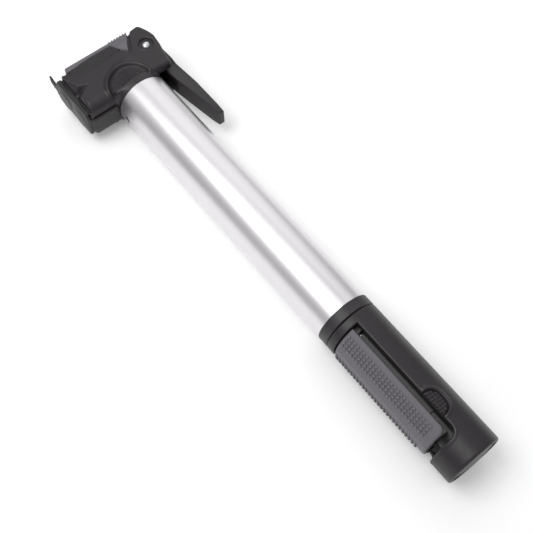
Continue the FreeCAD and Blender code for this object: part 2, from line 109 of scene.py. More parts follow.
def step_up(value: np.ndarray, low: float, high: float) -> np.ndarray:
    """Eases from 0 at low to 1 at high."""
    t = np.clip((value - low) / (high - low), 0, 1)
    return t * t * (3 - 2 * t)


def bump(value: np.ndarray, centre: float, width: float) -> np.ndarray:
    """Bell of height 1 about a centre."""
    return np.exp(-(((value - centre) / width) ** 2))


def inset(corners: Sequence[Point], amount: float) -> list[Point]:
    """Moves each edge of a polygon inwards.

    Args:
        corners: the polygon's corners, either way round.
        amount: how far each edge moves.

    Returns:
        The corners of the smaller polygon.
    """
    pts = np.array(corners, float)
    nxt = np.roll(pts, -1, axis=0)
    area = np.sum(pts[:, 0] * nxt[:, 1] - nxt[:, 0] * pts[:, 1])
    edge = (nxt - pts) / np.linalg.norm(nxt - pts, axis=1)[:, None]
    normal = np.stack([-edge[:, 1], edge[:, 0]], 1) * (1 if area > 0 else -1)
    moved = []
    for i in range(len(pts)):
        n0, n1 = normal[i - 1], normal[i]
        moved.append(tuple(pts[i] + amount * (n0 + n1) / max(1 + float(n0 @ n1), 0.2)))
    return moved


def outline(x: np.ndarray, y: np.ndarray, corners: Sequence[Point], rounding: float = 0.0) -> np.ndarray:
    """Distance to a polygon, negative inside, with its outer corners rounded.

    Args:
        x: first coordinate of the samples.
        y: second coordinate of the samples.
        corners: the polygon's corners.
        rounding: radius of the outer corners.

    Returns:
        The distance at each sample.
    """
    pts = inset(corners, rounding) if rounding else list(corners)
    best = np.full(np.broadcast(x, y).shape, 1e9)
    sign = np.ones_like(best)
    for (ax, ay), (bx, by) in zip(pts, pts[1:] + pts[:1]):
        ex, ey = bx - ax, by - ay
        wx, wy = x - ax, y - ay
        t = np.clip((wx * ex + wy * ey) / (ex * ex + ey * ey), 0, 1)
        best = np.minimum(best, (wx - t * ex) ** 2 + (wy - t * ey) ** 2)
        side = ex * wy - ey * wx
        crossed = ((y >= ay) & (y < by) & (side > 0)) | ((y < ay) & (y >= by) & (side < 0))
        sign = np.where(crossed, -sign, sign)
    return sign * np.sqrt(best) - rounding


def capsule_x(x: np.ndarray, r: np.ndarray, start: float, end: float, radius: float) -> np.ndarray:
    """Distance to a cylinder along X, given each sample's radius from the axis."""
    return np.maximum(r - radius, np.maximum(start - x, x - end))


def knurl(u: np.ndarray, v: np.ndarray, pitch: float) -> np.ndarray:
    """Grid of small square studs between 0 and 1."""
    return (np.clip(0.5 + 0.9 * np.cos(2 * np.pi * u / pitch), 0, 1)
            * np.clip(0.5 + 0.9 * np.cos(2 * np.pi * v / pitch), 0, 1))


@dataclass(frozen=True)
class FieldMesher:
    """Turns a distance field into a closed mesh of even quads.

    Attributes:
        step: grid spacing in millimetres.
        turn_deg: turn about X given to the finished mesh.
    """

    step: float = 0.3
    turn_deg: float = 0.0

    def build(self, name: str, shape: Field, low: Sequence[float], high: Sequence[float]) -> bpy.types.Object:
        """Meshes the field's zero surface.

        Args:
            name: the piece's name.
            shape: field in millimetres, negative inside.
            low: lowest corner of the grid.
            high: highest corner of the grid.

        Returns:
            The new object, at the origin, in metres.
        """
        axes = [np.arange(low[i], high[i] + self.step, self.step) for i in range(3)]
        size = tuple(len(a) for a in axes)
        grid = np.broadcast_to(shape(axes[0][:, None, None], axes[1][None, :, None], axes[2][None, None, :]), size)
        inside = grid < 0
        count = sum(inside[i:size[0] - 1 + i, j:size[1] - 1 + j, k:size[2] - 1 + k].astype(np.int8)
                    for i in (0, 1) for j in (0, 1) for k in (0, 1))
        active = (count > 0) & (count < 8)
        cells = np.argwhere(active)
        index = np.full(active.shape, -1, np.int64)
        index[active] = np.arange(len(cells))
        points = self._crossings(grid, cells)
        points = np.array(low) + points * self.step
        points = self._settle(shape, points)
        faces = self._quads(inside, index)
        return self._object(name, points, faces)

    def _crossings(self, grid: np.ndarray, cells: np.ndarray) -> np.ndarray:
        """Mean of the edge crossings of each cell, in grid units."""
        total = np.zeros((len(cells), 3))
        hits = np.zeros(len(cells))
        for axis in range(3):
            others = [a for a in range(3) if a != axis]
            for first in (0, 1):
                for second in (0, 1):
                    start = np.zeros(3, int)
                    start[others[0]], start[others[1]] = first, second
                    end = start.copy()
                    end[axis] = 1
                    a = grid[tuple((cells + start).T)]
                    b = grid[tuple((cells + end).T)]
                    crossed = (a < 0) != (b < 0)
                    t = np.where(crossed, a / np.where(crossed, a - b, 1), 0)
                    place = start + t[:, None] * (end - start)
                    total[crossed] += place[crossed]
                    hits += crossed
        return cells + total / hits[:, None]

    def _settle(self, shape: Field, points: np.ndarray) -> np.ndarray:
        """Moves points onto the surface along the field's slope."""
        reach = SLOPE_REACH
        for _ in range(SETTLE_PASSES):
            here = self._at(shape, points)
            slope = np.stack([(self._at(shape, points + np.eye(3)[a] * reach)
                               - self._at(shape, points - np.eye(3)[a] * reach)) / (2 * reach)
                              for a in range(3)], 1)
            length = np.maximum((slope ** 2).sum(1), 0.1)
            move = -(here / length)[:, None] * slope
            far = np.maximum(np.linalg.norm(move, axis=1) / (MAX_MOVE * self.step), 1)
            points = points + move / far[:, None]
        return points

    @staticmethod
    def _at(shape: Field, points: np.ndarray) -> np.ndarray:
        """Field at a list of points."""
        return shape(points[:, 0], points[:, 1], points[:, 2])

    @staticmethod
    def _quads(inside: np.ndarray, index: np.ndarray) -> np.ndarray:
        """One outward quad for each grid edge that the surface crosses."""
        quads = []
        for axis in range(3):
            o1, o2 = (axis + 1) % 3, (axis + 2) % 3
            lower = np.take(inside, range(inside.shape[axis] - 1), axis)
            upper = np.take(inside, range(1, inside.shape[axis]), axis)
            edges = np.argwhere(lower != upper)
            keep = ((edges[:, o1] > 0) & (edges[:, o2] > 0) & (edges[:, o1] < index.shape[o1])
                    & (edges[:, o2] < index.shape[o2]))
            edges = edges[keep]
            ring = []
            for d1, d2 in ((-1, -1), (0, -1), (0, 0), (-1, 0)):
                cell = edges.copy()
                cell[:, o1] += d1
                cell[:, o2] += d2
                ring.append(index[tuple(cell.T)])
            quad = np.stack(ring, 1)
            solid_below = inside[tuple(edges.T)]
            quads.append(np.where(solid_below[:, None], quad, quad[:, ::-1]))
        return np.concatenate(quads)

    def _object(self, name: str, points: np.ndarray, faces: np.ndarray) -> bpy.types.Object:
        """Makes the Blender object, turned about X and scaled to metres."""
        turn = math.radians(self.turn_deg)
        y = points[:, 1] * math.cos(turn) - points[:, 2] * math.sin(turn)
        z = points[:, 1] * math.sin(turn) + points[:, 2] * math.cos(turn)
        return plain_object(name, np.stack([points[:, 0], y, z], 1), faces)


def plain_object(name: str, points: np.ndarray, faces: Sequence) -> bpy.types.Object:
    """Object at the origin from points in millimetres.

    Args:
        name: the piece's name.
        points: corner positions.
        faces: corner numbers of each face.

    Returns:
        The object, shaded smooth.
    """
    mesh = bpy.data.meshes.new(name)
    mesh.from_pydata((np.asarray(points) * MM).tolist(), [], np.asarray(faces).tolist())
    mesh.validate()
    mesh.shade_smooth()
    piece = bpy.data.objects.new(name, mesh)
    bpy.context.scene.collection.objects.link(piece)
    return piece


# ---- finishes -----------------------------------------------------------------------------------------------
class Nodes:
    """Short helper for building one node tree."""

    def __init__(self, tree: bpy.types.NodeTree) -> None:
        """Keeps the tree."""
        self.tree = tree

    def add(self, kind: str, inputs: dict | None = None, **settings: object) -> bpy.types.Node:
        """Adds a node, sets its properties, and links or fills its inputs.

        Args:
            kind: the node's class name.
            inputs: input name or number to a value, or to the socket that feeds it.
            **settings: properties of the node.

        Returns:
            The new node.
        """
        node = self.tree.nodes.new(kind)
        for key, value in settings.items():
            setattr(node, key, value)
        for key, value in (inputs or {}).items():
            socket = node.inputs[key]
            if isinstance(value, bpy.types.NodeSocket):
                self.tree.links.new(value, socket)
            else:
                socket.default_value = value
        return node

    def math(self, operation: str, a: object, b: object = 0.0) -> bpy.types.NodeSocket:
        """Output of a Math node."""
        return self.add("ShaderNodeMath", {0: a, 1: b}, operation=operation).outputs[0]


def grain_group() -> bpy.types.NodeTree:
    """Shader group for a surface's fine grain: colour shift, roughness shift and height.

    Returns:
        The group, with inputs Scale, Amount and Stretch and outputs Shade, Rough and Height.
    """
    tree = bpy.data.node_groups.new("surface_grain", "ShaderNodeTree")
    face = tree.interface
    face.new_socket("Scale", in_out="INPUT", socket_type="NodeSocketFloat").default_value = 900.0
    face.new_socket("Amount", in_out="INPUT", socket_type="NodeSocketFloat").default_value = 0.1
    face.new_socket("Stretch", in_out="INPUT", socket_type="NodeSocketVector").default_value = (1, 1, 1)
    for name in ("Shade", "Rough", "Height"):
        face.new_socket(name, in_out="OUTPUT", socket_type="NodeSocketFloat")
    n = Nodes(tree)
    inlet = n.add("NodeGroupInput")
    place = n.add("ShaderNodeTexCoord").outputs["Object"]
    stretched = n.add("ShaderNodeVectorMath", {0: place, 1: inlet.outputs["Stretch"]}, operation="MULTIPLY").outputs[0]
    fine = n.add("ShaderNodeTexNoise", {"Vector": stretched, "Scale": inlet.outputs["Scale"], "Detail": 4.0,
                                        "Roughness": 0.62})
    broad = n.add("ShaderNodeTexNoise", {"Vector": place, "Scale": 38.0, "Detail": 3.0, "Roughness": 0.55})
    swing = n.math("SUBTRACT", fine.outputs["Fac"], 0.5)
    drift = n.math("SUBTRACT", broad.outputs["Fac"], 0.5)
    both = n.math("ADD", swing, drift)
    shade = n.math("ADD", n.math("MULTIPLY", both, inlet.outputs["Amount"]), 1.0)
    rough = n.math("MULTIPLY", n.math("ADD", swing, n.math("MULTIPLY", drift, 1.4)), inlet.outputs["Amount"])
    n.add("NodeGroupOutput", {"Shade": shade, "Rough": rough, "Height": fine.outputs["Fac"]})
    return tree


def wear_group() -> bpy.types.NodeTree:
    """Shader group for edge wear: a mask of convex edges broken up by noise.

    Returns:
        The group, with the input Strength and the output Mask.
    """
    tree = bpy.data.node_groups.new("edge_wear", "ShaderNodeTree")
    face = tree.interface
    face.new_socket("Strength", in_out="INPUT", socket_type="NodeSocketFloat").default_value = 0.4
    face.new_socket("Mask", in_out="OUTPUT", socket_type="NodeSocketFloat")
    n = Nodes(tree)
    inlet = n.add("NodeGroupInput")
    sharp = n.add("ShaderNodeNewGeometry").outputs["Pointiness"]
    edge = n.add("ShaderNodeMapRange", {"Value": sharp, "From Min": WORN_FROM,
                                        "From Max": WORN_TO}).outputs["Result"]
    place = n.add("ShaderNodeTexCoord").outputs["Object"]
    patch = n.add("ShaderNodeTexNoise", {"Vector": place, "Scale": 420.0, "Detail": 3.0}).outputs["Fac"]
    broken = n.math("MULTIPLY", edge, n.math("MULTIPLY", patch, inlet.outputs["Strength"]))
    n.add("NodeGroupOutput", {"Mask": n.add("ShaderNodeClamp", {"Value": broken}).outputs[0]})
    return tree


@dataclass(frozen=True)
class Finish:
    """A procedural finish of one kind of surface.

    Attributes:
        slot: the record's slot.
        colour: linear base colour.
        worn: linear colour of worn edges.
        roughness: mean roughness.
        metallic: 0 or 1.
        grain: grain scale, per metre.
        amount: strength of the grain's colour and roughness shifts.
        stretch: how the grain is scaled along X, Y and Z.
        height: depth of the grain in metres.
        wear: strength of the edge wear.
        specular: dielectric reflection level.
        sheen: sheen weight.
    """

    slot: Slot
    colour: tuple[float, float, float]
    worn: tuple[float, float, float]
    roughness: float
    metallic: float = 0.0
    grain: float = 1500.0
    amount: float = 0.12
    stretch: tuple[float, float, float] = (1.0, 1.0, 1.0)
    height: float = 0.00004
    wear: float = 0.4
    specular: float = 0.5
    sheen: float = 0.0

    def material(self, groups: dict[str, bpy.types.NodeTree]) -> bpy.types.Material:
        """Builds the finish.

        Args:
            groups: the shared shader groups by name.

        Returns:
            The material.
        """
        made = bpy.data.materials.new(self.slot.value)
        made.use_nodes = True
        tree = made.node_tree
        tree.nodes.clear()
        n = Nodes(tree)
        grain = n.add("ShaderNodeGroup", node_tree=groups["grain"])
        grain.inputs["Scale"].default_value = self.grain
        grain.inputs["Amount"].default_value = self.amount
        grain.inputs["Stretch"].default_value = self.stretch
        wear = n.add("ShaderNodeGroup", node_tree=groups["wear"])
        wear.inputs["Strength"].default_value = self.wear
        tint = n.add("ShaderNodeMix", {"Factor": wear.outputs["Mask"]}, data_type="RGBA")
        tint.inputs[6].default_value = (*self.colour, 1)
        tint.inputs[7].default_value = (*self.worn, 1)
        shaded = n.add("ShaderNodeVectorMath", {0: tint.outputs[2], "Scale": grain.outputs["Shade"]}, operation="SCALE")
        rough = n.math("ADD", grain.outputs["Rough"], self.roughness)
        lift = n.add("ShaderNodeBump", {"Height": grain.outputs["Height"], "Distance": self.height, "Strength": 1.0})
        shader = n.add("ShaderNodeBsdfPrincipled", {
            "Base Color": shaded.outputs[0], "Roughness": n.add("ShaderNodeClamp", {"Value": rough}).outputs[0],
            "Normal": lift.outputs[0], "Metallic": self.metallic, "Specular IOR Level": self.specular,
            "Sheen Weight": self.sheen})
        n.add("ShaderNodeOutputMaterial", {"Surface": shader.outputs[0]})
        return made


FINISHES = (
    Finish(Slot.SATIN_ALUMINIUM, (0.76, 0.745, 0.765), (0.9, 0.9, 0.9), roughness=0.36, metallic=1.0, grain=2600.0,
           amount=0.05, stretch=(0.25, 1, 1), height=0.000012, wear=0.1),
    Finish(Slot.BARE_ALUMINIUM, (0.72, 0.72, 0.74), (0.85, 0.85, 0.85), roughness=0.28, metallic=1.0, grain=1600.0,
           amount=0.08, stretch=(1, 0.1, 0.1), height=0.00001, wear=0.1),
    Finish(Slot.BLACK_PLASTIC, (0.0150, 0.0122, 0.0145), (0.06, 0.056, 0.06), roughness=0.42, grain=1900.0,
           amount=0.16, height=0.00006, wear=0.45),
    Finish(Slot.DARK_PLASTIC, (0.017, 0.014, 0.0145), (0.09, 0.085, 0.09), roughness=0.5, grain=1700.0,
           amount=0.14, height=0.00005, wear=0.3),
    Finish(Slot.GREY_RUBBER, (0.133, 0.126, 0.141), (0.26, 0.25, 0.26), roughness=0.62, grain=1300.0,
           amount=0.10, height=0.00003, wear=0.35, specular=0.4, sheen=0.15),
    Finish(Slot.BLACK_RUBBER, (0.020, 0.018, 0.020), (0.07, 0.066, 0.07), roughness=0.55, grain=1200.0,
           amount=0.12, height=0.00003, wear=0.35, specular=0.4, sheen=0.1),
    Finish(Slot.WHITE_NYLON, (0.70, 0.69, 0.65), (0.8, 0.79, 0.76), roughness=0.42, grain=900.0, amount=0.06),
    Finish(Slot.STEEL, (0.55, 0.55, 0.56), (0.7, 0.7, 0.7), roughness=0.3, metallic=1.0, grain=1400.0,
           amount=0.12, stretch=(1, 1, 0.2), height=0.00001, wear=0.2),
    Finish(Slot.POLISHED_STEEL, (0.74, 0.74, 0.76), (0.9, 0.9, 0.9), roughness=0.3, metallic=1.0, grain=700.0,
           amount=0.08, height=0.000004, wear=0.1),
)


@dataclass(frozen=True)
class Skin:
    """One piece that is meshed from a field.

    Attributes:
        name: the piece's name.
        shape: its field in millimetres, negative inside.
        step: grid spacing in millimetres.
        low: lowest corner of the grid.
        high: highest corner of the grid.
        slot: its finish.
        body: the CAD body that it rides on.
        nodes: CAD nodes that it stands for.
        turn_deg: turn about X given to the finished mesh.
    """

    name: str
    shape: Field
    step: float
    low: tuple[float, float, float]
    high: tuple[float, float, float]
    slot: Slot
    body: str
    nodes: tuple[str, ...] = ()
    turn_deg: float = 0.0

    def mesh(self) -> bpy.types.Object:
        """Meshes the field."""
        return FieldMesher(self.step, self.turn_deg).build(self.name, self.shape, self.low, self.high)


class Workshop:
    """Dresses pieces and hands them to their bodies."""

    def __init__(self) -> None:
        """Builds the shared groups and every finish once."""
        groups = {"grain": grain_group(), "wear": wear_group()}
        self.finishes = {f.slot: f.material(groups) for f in FINISHES}

    def place(self, piece: bpy.types.Object, slot: Slot, body: str, *nodes: str) -> bpy.types.Object:
        """Gives a finished piece its finish and its body.

        Args:
            piece: the finished object.
            slot: its finish.
            body: the CAD body that it rides on.
            *nodes: CAD nodes that it stands for.

        Returns:
            The piece.
        """
        self.dress(piece, slot)
        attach(piece, body)
        if nodes:
            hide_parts(*nodes)
        LOG.info("%s: %d faces on %s", piece.name, len(piece.data.polygons), body)
        return piece

    def make(self, skin: Skin) -> None:
        """Meshes a skin and places it."""
        self.place(skin.mesh(), skin.slot, skin.body, *skin.nodes)

    def dress(self, piece: bpy.types.Object, slot: Slot) -> None:
        """Puts one finish on every face."""
        piece.data.materials.clear()
        piece.data.materials.append(self.finishes[slot])

    def dress_frame(self) -> None:
        """Gives each CAD node the finish of its record slot."""
        for part in frame["record"]["subparts"]:
            node = frame["nodes"][part["node"]]
            made = self.finishes[Slot(part["material_slot"])]
            for link in node.material_slots:
                link.material = made


# ---- head ---------------------------------------------------------------------------------------------------
@dataclass
class Head:
    """Head casing, thumb pad, side grips, lock lever, dust cap and strap. Lengths in millimetres."""

    shop: Workshop
    half: float = 12.0
    nose_half: float = 7.5
    socket_r: float = 14.2
    spigot_r: float = 12.75
    tube_end: float = -78.3
    pivot: Point = (-98.3, 17.0)
    pivot_hole_r: float = 1.66
    rivet_pocket_r: float = 3.75
    cam: Point = (-99.36, 18.06)
    cam_r: float = 6.0
    valves: tuple[float, float] = (-88.3, -101.9)
    plug_r: tuple[float, float] = (2.9, 3.85)
    pad_seat: float = -109.4
    moon: Point = (-82.5, -3.3)
    moon_ridge_r: float = 12.2
    moon_groove_r: float = 10.3
    moon_plate_r: float = 9.2
    corner_x: float = -79.3
    corner_r: float = 4.6
    strap_face: float = -31.6
    strap_inner: float = -80.75
    strap_thick: float = 1.45
    strap_half: float = 4.3
    casing: tuple[Point, ...] = ((-80.9, 20.6), (-88.5, 21.8), (-94.5, 23.2), (-101.2, 24.1), (-105.5, 23.2),
                                 (-110.0, 21.4), (-111.4, 20.0), (-110.9, 15.4), (-109.7, 14.2), (-110.4, 12.5),
                                 (-110.9, 2.0), (-108.8, -24.7), (-108.3, -26.1), (-108.9, -28.2),
                                 (-107.8, -30.0), (-80.7, -30.0), (-80.7, -12.0), (-81.4, 12.0))
    scoop: tuple[Point, ...] = ((-106.5, -34.0), (-105.0, -28.8), (-103.0, -27.6), (-101.0, -26.6), (-97.2, -25.6),
                                (-95.0, -20.3), (-93.6, -24.3), (-91.2, -26.4), (-88.6, -27.2), (-79.0, -27.8),
                                (-79.0, -34.0))
    wedge: tuple[Point, ...] = ((-114.0, 0.5), (-109.4, 1.6), (-103.3, 5.0), (-100.5, 7.8), (-110.6, 12.7),
                                (-114.0, 14.2))
    lens: tuple[Point, ...] = ((-107.2, -24.2), (-108.9, -16.0), (-109.1, 1.8), (-103.6, 4.3), (-102.9, -4.0),
                               (-102.2, -12.2), (-102.6, -17.6), (-105.0, -22.4))
    blade: tuple[Point, ...] = ((-96.5, 12.7), (-90.0, 15.2), (-86.3, 16.6), (-73.0, 18.3), (-44.0, 22.8),
                                (-43.4, 25.8), (-66.8, 26.2), (-87.5, 24.6), (-95.5, 24.3), (-100.5, 23.6))

    def relief(self, x: np.ndarray, y: np.ndarray) -> np.ndarray:
        """Height added to the casing's sides: the half moon's ridge, groove and floor, and the grips' seats."""
        from_moon = np.hypot(x - self.moon[0], y - self.moon[1])
        above_lip = step_up(-x, 81.4, 82.4)
        ridge = 0.75 * bump(from_moon, self.moon_ridge_r, 0.95) * above_lip
        groove = -0.8 * bump(from_moon, self.moon_groove_r, 0.62) * above_lip
        floor = -0.5 * (step_up(-from_moon, -9.7, -9.1) * step_up(-x, 82.6, 83.2))
        lens = -0.75 * step_up(-outline(x, y, self.lens), -0.25, 0.1)
        near_wedge = outline(x, y, self.wedge)
        seat = -0.9 * step_up(-near_wedge, -0.3, 0.1) - 0.55 * bump(near_wedge, 0.9, 0.6)
        return ridge + groove + floor + lens + seat

    def half_at(self, x: np.ndarray, y: np.ndarray) -> np.ndarray:
        """Half the casing's thickness: full at the sides, stepping down through the scoop to the narrow nose."""
        scooped = outline(x, y, self.scoop)
        slope = step_up(-scooped, -0.5, 3.4)
        brow = 0.9 * step_up(-x, 99.0, 111.0) * step_up(-y, -6.0, 4.0)
        round_off = 1 - np.sqrt(np.clip(1 - ((x + 87.2) / 6.9).clip(0, 1) ** 2, 0, 1))
        foot = 5.6 * step_up(-y, 10.5, 14.5) * round_off
        return self.half - brow - foot - slope * 4.4

    def seat_radius(self, x: np.ndarray) -> np.ndarray:
        """Radius of the ring round the tube and of the cone behind it."""
        return self.socket_r - 2.2 * np.clip((-83.0 - x) / 12.0, 0, 1)

    def casing_field(self, x: np.ndarray, y: np.ndarray, z: np.ndarray) -> np.ndarray:
        """Solid of the head's casing."""
        side = np.abs(z)
        radius = np.hypot(y, z)
        flat = (side - self.half_at(x, y)) * 0.8
        plate = smooth_max(outline(x, y, self.casing, 1.0), flat, 1.7)
        barrel_seat = capsule_x(x, radius, -97.0, self.tube_end, self.seat_radius(x))
        barrel_seat = smooth_max(barrel_seat, -96.5 - x, 2.0)
        body = smooth_min(plate, barrel_seat, 2.2)
        body = np.maximum(body, x - self.tube_end)
        facing = step_up(side, 5.0, 8.5)
        body = body - self.relief(x, y) * facing
        from_pivot = np.hypot(x - self.pivot[0], y - self.pivot[1])
        pocket = np.maximum(from_pivot - self.rivet_pocket_r, (self.half - 1.0) - side)
        body = smooth_max(body, -pocket, 0.4)
        body = body - 0.16 * bump(from_pivot, 4.3, 0.4) * facing
        slot = np.maximum(np.maximum(side - 7.2, -108.4 - x), 5.4 - y)
        slot = np.maximum(slot, -np.maximum(radius - self.socket_r, -84.0 - x))
        body = smooth_max(body, -slot, 0.4)
        pad_room = np.maximum(np.maximum(x - self.pad_seat, side - 10.5), np.maximum(y - 13.0, -23.2 - y))
        body = np.maximum(body, -pad_room)
        body = np.maximum(body, np.minimum(side - self.nose_half, -28.3 - y))
        for reach, deep in ((6.9, -28.4), (6.3, -13.0)):
            middle = np.clip(x, self.valves[1], self.valves[0])
            room = np.maximum(np.hypot(x - middle, z) - reach, y - deep)
            body = np.maximum(body, -room)
        spigot = capsule_x(x, radius, -79.0, -66.4, self.spigot_r)
        hollow = np.maximum(np.abs(radius - 7.9) - 1.5, -77.3 - x)
        spigot = np.maximum(spigot, -hollow)
        return np.minimum(body, spigot)

    def pad_field(self, x: np.ndarray, y: np.ndarray, z: np.ndarray) -> np.ndarray:
        """Solid of the thumb pad: a crowned top with dimples and a ribbed point over each side."""
        side = np.abs(z)
        crown = -110.9 - 1.2 * (1 - (z / 12.5) ** 2)
        low_edge = -108.9 + 1.0 * step_up(-y, 10.0, 24.0)
        studs = 0.32 * knurl(y, z, 1.5) * step_up(-side, -11.3, -10.6)
        top = np.maximum(crown - studs - x, x - low_edge)
        top = np.maximum(top, np.maximum(-24.6 - y, y - 12.9))
        lap = smooth_max(outline(x, y, self.wedge, 0.3), crown - x, 0.6)
        outer = smooth_max(np.minimum(top, lap), side - 11.75, 1.0)
        along = (x + 100.5) * 0.43 + (y - 7.8) * 0.9
        rib = np.clip(np.cos(2 * np.pi * along / 1.55) + 0.35, 0, 1)
        ribs = 0.4 * rib * step_up(y, 1.0, 3.0) * step_up(-x, 103.5, 108.0)
        outer = outer - ribs
        inner = np.maximum(side - 10.9, self.pad_seat - x)
        return np.maximum(outer, -inner)

    def moon_field(self, x: np.ndarray, y: np.ndarray, z: np.ndarray) -> np.ndarray:
        """Pair of thin knurled plates in the floors of the two half moons."""
        side = np.abs(z)
        face = np.maximum(np.hypot(x - self.moon[0], y - self.moon[1]) - self.moon_plate_r, x + 82.9)
        cone = np.sqrt(np.clip(self.seat_radius(x) ** 2 - y * y, 0, None))
        under = side - smooth_max(cone, self.half + 0.0 * x + 0.0 * y, 2.2) + 0.95
        plate = smooth_max(face, np.abs(under) - 0.45, 0.2)
        return plate - 0.45 * knurl(x, y, 1.4) * step_up(-face, 0.0, 0.5) * step_up(under, -0.1, 0.2)

    def lens_field(self, x: np.ndarray, y: np.ndarray, z: np.ndarray) -> np.ndarray:
        """Pair of thin grip inlays set into the casing's sides under the pad."""
        side = np.abs(z)
        face = outline(x, y, self.lens, 0.4)
        grid = 0.36 * knurl(x + 0.2 * y, y, 1.45)
        plate = smooth_max(face, np.abs(side - 10.95) - 0.45, 0.3)
        return plate - grid * step_up(-face, 0.1, 0.9) * step_up(side, 10.8, 11.1)

    def lever_field(self, x: np.ndarray, y: np.ndarray, z: np.ndarray) -> np.ndarray:
        """Solid of the lock lever in its shut place."""
        side = np.abs(z)
        shape = outline(x, y, self.blade, 0.5)
        cam = np.hypot(x - self.cam[0], y - self.cam[1]) - self.cam_r
        shape = smooth_min(shape, cam, 0.8)
        past_head = step_up(x, -88.0, -83.0)
        inner_line = 16.6 + (x + 86.3) * 0.147
        outward = np.clip((y - inner_line) / 6.0, 0, 1)
        half = 6.3 - past_head * (0.1 + 1.7 * outward) + 0.0 * x
        tip = step_up(x, -50.0, -43.0)
        body = smooth_max(shape, side - half + 0.8 * tip, 0.7)
        hollow = np.maximum(np.maximum(side - 4.6, y - (inner_line + 1.6)), np.maximum(x + 73.5, -92.0 - x))
        body = smooth_max(body, -hollow, 0.4)
        return np.maximum(body, self.pivot_hole_r - np.hypot(x - self.pivot[0], y - self.pivot[1]))

    def cap_field(self, x: np.ndarray, y: np.ndarray, z: np.ndarray) -> np.ndarray:
        """Solid of the dust cap with two domes, a wavy rim, two plugs and a pull tab."""
        side = np.abs(z)
        rim = -28.75 + 0.45 * np.cos((x + 95.0) * 2 * np.pi / 16.0)
        face = -31.1 - 0.9 * np.sqrt(np.clip(1 - (z / 8.6) ** 2, 0, 1))
        for centre in self.valves:
            face = face - 0.95 * step_up(-np.hypot(x - centre, z), -7.6, -3.0)
        square = ((-110.7, -8.4), (-110.7, 8.4), (-80.5, 8.4), (-80.5, -8.4))
        block = outline(x, z, square, 3.6)
        body = smooth_max(block, np.maximum(face - y, y - rim), 1.3)
        corner = ((-130.0, -20.0), (self.corner_x, -20.0), (self.corner_x, -32.6), (-130.0, -32.6))
        body = smooth_max(body, outline(x, y, corner, self.corner_r), 0.4)
        room = np.maximum(np.maximum(side - self.nose_half - 0.1, -30.15 - y),
                          np.maximum(-109.6 - x, x + 50.0))
        body = np.maximum(body, -room)
        for centre, bore in zip(self.valves, self.plug_r):
            plug = np.maximum(np.hypot(x - centre, z) - bore, np.maximum(-31.0 - y, y + 28.9))
            body = np.minimum(body, plug)
        flag = ((-119.4, -30.9), (-119.4, -29.9), (-109.5, -30.7), (-109.5, -32.0))
        tab = smooth_max(outline(x, y, flag, 0.3), side - 2.1, 0.5)
        ribs = 0.16 * np.clip(np.cos(2 * np.pi * x / 1.3), 0, 1) * step_up(-x, 113.0, 114.0)
        return smooth_min(body, tab - ribs, 0.9)

    def strap_field(self, x: np.ndarray, y: np.ndarray, z: np.ndarray) -> np.ndarray:
        """Solid of the strap: from the cap's foot, round the corner, along the underside to the barrel."""
        lower = ((-98.0, -8.0), (-98.0, self.strap_face), (self.corner_x, self.strap_face), (self.corner_x, -8.0))
        skin = outline(x, y, lower, self.corner_r)
        inner = np.where(y > -22.0, x - self.strap_inner, skin + self.strap_thick)
        strip = np.maximum(np.maximum(skin, -inner), np.maximum(-81.6 - x, y + 14.3))
        return smooth_max(strip, np.abs(z) - self.strap_half, 0.6)

    def build(self) -> None:
        """Makes every piece of the head."""
        grey, rubber, plastic = Slot.GREY_RUBBER, Slot.BLACK_RUBBER, Slot.BLACK_PLASTIC
        for skin in (
            Skin("head_casing", self.casing_field, 0.37, (-113.5, -31.5, -15.2), (-65.5, 25.5, 15.2), plastic,
                 "barrel", ("head_body",)),
            Skin("thumb_rest", self.pad_field, 0.25, (-113.4, -25.6, -12.8), (-99.0, 15.4, 12.8), grey,
                 "barrel", ("thumb_pad",)),
            Skin("side_grip_inlays", self.lens_field, 0.25, (-110.2, -25.4, -12.2), (-101.0, 5.6, 12.2), rubber,
                 "barrel"),
            Skin("half_moon_grips", self.moon_field, 0.2, (-92.6, -13.4, -15.0), (-82.0, 6.8, 15.0), plastic,
                 "barrel"),
            Skin("lock_lever_body", self.lever_field, 0.28, (-106.6, 10.8, -7.4), (-42.2, 27.6, 7.4), plastic,
                 "lock_lever", ("lock_lever",)),
            Skin("valve_dust_cap", self.cap_field, 0.30, (-120.6, -34.6, -9.6), (-79.2, -27.4, 9.6), rubber,
                 "dust_cap", ("dust_cap",)),
        ):
            self.shop.make(skin)
        strap = FieldMesher(0.25).build("dust_cap_strap_skin", self.strap_field, (-82.6, -33.8, -5.2),
                                        (-78.0, -13.2, 5.2))
        self.shop.dress(strap, rubber)
        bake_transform(strap)
        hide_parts("dust_cap_strap")
        LOG.info("%s: blended across the cap's hinge", strap.name)


